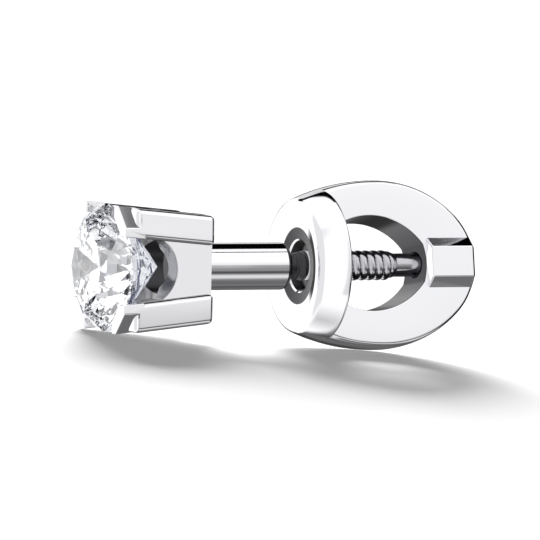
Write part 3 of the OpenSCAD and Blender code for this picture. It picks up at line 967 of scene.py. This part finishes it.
# The light tent, which only the metal and the stone see: how bright it looks on three sides, as (degrees
# above the horizon, level from black to white), and the cards that hang in it, each with the degrees that
# it reaches across and up. Across is 0 straight behind the stud and grows towards the nut.
tent = {
    "left": [(-90, 0.75), (-72, 0.9), (-62, 0.97), (-20, 1.0), (90, 1.0)],
    "rightBehind": [
        (-90, 0.6), (-70, 0.56), (-60, 0.45), (-52, 0.3), (-44, 0.38), (-30, 0.38), (-16, 0.36), (-8, 0.6),
        (-3, 0.95), (4, 0.95), (12, 0.83), (34, 0.8), (66, 0.76), (72, 1.0), (90, 1.0),
    ],
    "rightFront": [
        (-90, 0.6), (-62, 0.38), (-56, 0.42), (-50, 0.55), (-46, 0.76), (-42, 0.86), (-38, 0.84), (-34, 0.77),
        (-30, 0.6), (-26, 0.36), (-22, 0.3), (-17, 0.38), (-13, 0.55), (-9, 0.7), (-5, 0.8), (-2, 0.87),
        (1, 0.9), (8, 0.875), (18, 0.93), (28, 1.0), (90, 1.0),
    ],
    "rightFrom": (0.13, 0.215),   # how far towards +x a direction points where the right side starts
    "frontFrom": (70, 92),        # degrees across where the right side's front starts
    "cards": [
        {"across": (7.5, 73), "up": (33, 71), "soft": 1.5, "level": 0.03},
        {"across": (-15, 10), "up": (29.5, 40.5), "soft": 2, "level": 0.03},
        {"across": (84, 104), "up": (60, 65), "soft": 0.6, "level": 0.4},
        {"across": (116, 126), "up": (63.8, 67), "soft": 0.4, "level": 0.03},
        {"across": (-150, -68), "up": (-58, 60), "soft": 8, "level": 0.87},
        {"across": (-200, -173), "up": (-40, 40), "soft": 3, "level": 0.84},
        {"across": (168, 200), "up": (-40, 40), "soft": 3, "level": 0.84},
        {"across": (36, 118), "up": (-28, 36), "soft": 4, "level": 0.12},
        {"across": (18, 60), "up": (1.5, 12), "soft": 1.5, "level": 0.1},
        {"across": (4, 28), "up": (-30, 8), "soft": 3, "level": 0.25},
        {"across": (148.5, 156), "up": (-14.5, 10), "soft": 2, "level": 0.53},
    ],
    # what the stone alone shows: a white tent with dark gaps, in the blue grey of a cold studio
    "stoneLevel": 1.06,
    "stoneCards": [
        {"across": (-163, -147), "up": (-12, 11), "soft": 1.5, "level": 0.08},
        {"across": (-152, -136), "up": (-34, -13), "soft": 1.5, "level": 0.08},
        {"across": (-142, -127), "up": (-6, 17), "soft": 1.5, "level": 0.08},
        {"across": (-124, -98), "up": (40, 53), "soft": 1.5, "level": 0.1},
        {"across": (-113, -97), "up": (-34, -20), "soft": 1.5, "level": 0.12},
        {"across": (-146, -130), "up": (-73, -60), "soft": 1.5, "level": 0.1},
        {"across": (-76, -4), "up": (10, 42), "soft": 2, "level": 0.2},
        {"across": (-60, 8), "up": (-46, -16), "soft": 2, "level": 0.2},
        {"across": (20, 120), "up": (-40, 40), "soft": 3, "level": 0.4},
    ],
    "stoneDark": "#808cc0",
    "paperLevel": 1.0,            # of the pale paper that is seen past the table's far edge
    "eyeCurve": 2.2,              # the power that turns levels, evenly spaced for the eye, into light
    "strength": 1.3,
}
mixer = {"share": 0, "under": 6, "over": 7, "result": 2}   # the sockets of a Mix node for colours
world = bpy.data.worlds.new("lightTent")
world.use_nodes = True
sky = world.node_tree
sky.nodes.clear()
direction = addNode(sky, "ShaderNodeTexCoord").outputs["Generated"]
towards = addNode(sky, "ShaderNodeSeparateXYZ", None, {"Vector": direction}).outputs
up = addNode(sky, "ShaderNodeMath", {"operation": "ARCSINE"}, {0: towards["Z"]}).outputs["Value"]
across = addNode(
    sky, "ShaderNodeMath", {"operation": "ARCTAN2"}, {0: towards["X"], 1: towards["Y"]},
).outputs["Value"]
fromBelow = addNode(
    sky, "ShaderNodeMapRange", None, {"Value": up, "From Min": -math.pi / 2, "From Max": math.pi / 2},
).outputs["Result"]


def asLight(level, tint=(1, 1, 1)):
    # the colour of the light that a level gives
    return [part * level ** tent["eyeCurve"] for part in tint] + [1]


def tentSide(stops):
    # one side of the tent, from its (degrees, level) stops
    ramp = addNode(sky, "ShaderNodeValToRGB", None, {"Fac": fromBelow})
    elements = ramp.color_ramp.elements
    for degrees, _ in stops[1:-1]:
        elements.new((degrees + 90) / 180)
    for element, (_, level) in zip(elements, stops):
        element.color = asLight(level)
    return ramp.outputs["Color"]


def cardLayer(card, tint=(1, 1, 1)):
    # how far a card covers each direction, with its four edges soft, and its colour
    share, soft = 1.0, card["soft"]
    for source, limits in ((across, card["across"]), (up, card["up"])):
        for limit, rises in zip(limits, (True, False)):
            edge = addNode(
                sky, "ShaderNodeMapRange", {"interpolation_type": "SMOOTHSTEP"},
                {
                    "Value": source,
                    "From Min": math.radians(limit - soft), "From Max": math.radians(limit + soft),
                    "To Min": 0.0 if rises else share, "To Max": share if rises else 0.0,
                },
            )
            share = edge.outputs["Result"]
    return share, asLight(card["level"], tint)


def layered(colour, layers):
    # lays each layer over the colour by its share
    for share, over in layers:
        mix = addNode(
            sky, "ShaderNodeMix", {"data_type": "RGBA"},
            {mixer["share"]: share, mixer["under"]: colour, mixer["over"]: over},
        )
        colour = mix.outputs[mixer["result"]]
    return colour


isRight = addNode(
    sky, "ShaderNodeMapRange", {"interpolation_type": "SMOOTHSTEP"},
    {"Value": towards["X"], "From Min": tent["rightFrom"][0], "From Max": tent["rightFrom"][1]},
).outputs["Result"]
frontFrom = [math.radians(limit) for limit in tent["frontFrom"]]
isFront = addNode(
    sky, "ShaderNodeMapRange", {"interpolation_type": "SMOOTHSTEP"},
    {"Value": across, "From Min": frontFrom[0], "From Max": frontFrom[1]},
).outputs["Result"]
rightSide = layered(tentSide(tent["rightBehind"]), [(isFront, tentSide(tent["rightFront"]))])
roomCards = [cardLayer(card) for card in tent["cards"]]
roomLight = layered(tentSide(tent["left"]), [(isRight, rightSide)] + roomCards)

darkest = fromHex(tent["stoneDark"])[:3]
stoneTint = [part / max(darkest) for part in darkest]
stoneCards = [cardLayer(card, stoneTint) for card in tent["stoneCards"]]
stoneLight = layered(asLight(tent["stoneLevel"]), stoneCards)

# only the stone is smooth enough to send out singular rays, so this is its light alone
rayKind = addNode(sky, "ShaderNodeLightPath").outputs
ofStone = addNode(
    sky, "ShaderNodeMath", {"operation": "MAXIMUM"},
    {0: rayKind["Is Transmission Ray"], 1: rayKind["Is Singular Ray"]},
).outputs["Value"]
paper = (rayKind["Is Camera Ray"], asLight(tent["paperLevel"]))
allRound = layered(roomLight, [(ofStone, stoneLight), paper])
glow = addNode(sky, "ShaderNodeBackground", None, {"Strength": tent["strength"], "Color": allRound})
addNode(sky, "ShaderNodeOutputWorld", None, {"Surface": glow.outputs["Background"]})
world.cycles_visibility.diffuse = False   # the table is lit by the lamps alone
bpy.context.scene.world = world

# The camera, at the photo's angle: a long lens, just above the table.
view = {
    "turn": 25.0,           # degrees from square on, towards the stone
    "rise": 3.7,            # degrees above the stud's own axis
    "roll": 1.3,            # degrees
    "distance": 250.0,      # mm
    "frame": 540,           # pixels of the photo's width and height
    "focal": 8471.4752,     # focal length in those pixels
    "aim": 5.5146,          # the place on the axis that the camera aims at
    "aimPixel": (270.0, 266.0),   # where that place is in the frame
    "sensor": 36,           # mm
    "clip": (0.01, 60),     # metres
    "bounces": 28,          # light goes round many times inside a cut stone
    "mirrorBounces": 24,
}
turn, rise, roll = -math.radians(view["turn"]), math.radians(view["rise"]), math.radians(view["roll"])
backward = Vector((math.sin(turn) * math.cos(rise), -math.cos(turn) * math.cos(rise), math.sin(rise)))
levelRight = Vector((math.cos(turn), math.sin(turn), 0))
levelUp = backward.cross(levelRight)
rightward = levelRight * math.cos(roll) + levelUp * math.sin(roll)
upward = levelUp * math.cos(roll) - levelRight * math.sin(roll)
pixel = view["distance"] / view["focal"]   # mm at the stud
offRight, offDown = (view["frame"] / 2 - place for place in view["aimPixel"])
eye = Vector((view["aim"], 0, 0)) + backward * view["distance"]
eye += rightward * (offRight * pixel) - upward * (offDown * pixel)
lyingDown = studPlace.to_3x3().normalized()
axes = Matrix((lyingDown @ rightward, lyingDown @ upward, lyingDown @ backward)).transposed()
cameraData = bpy.data.cameras.new("camera")
cameraData.sensor_width = view["sensor"]
cameraData.lens = view["focal"] / view["frame"] * view["sensor"]
cameraData.clip_start, cameraData.clip_end = view["clip"]
camera = looseObject("camera", cameraData)
camera.matrix_world = Matrix.Translation(studPlace @ eye) @ axes.to_4x4()
bpy.context.scene.camera = camera
bpy.context.scene.view_settings.view_transform = "Standard"
bpy.context.scene.cycles.max_bounces = view["bounces"]
bpy.context.scene.cycles.transmission_bounces = view["bounces"]
bpy.context.scene.cycles.glossy_bounces = view["mirrorBounces"]
print("stage: stage and camera set")
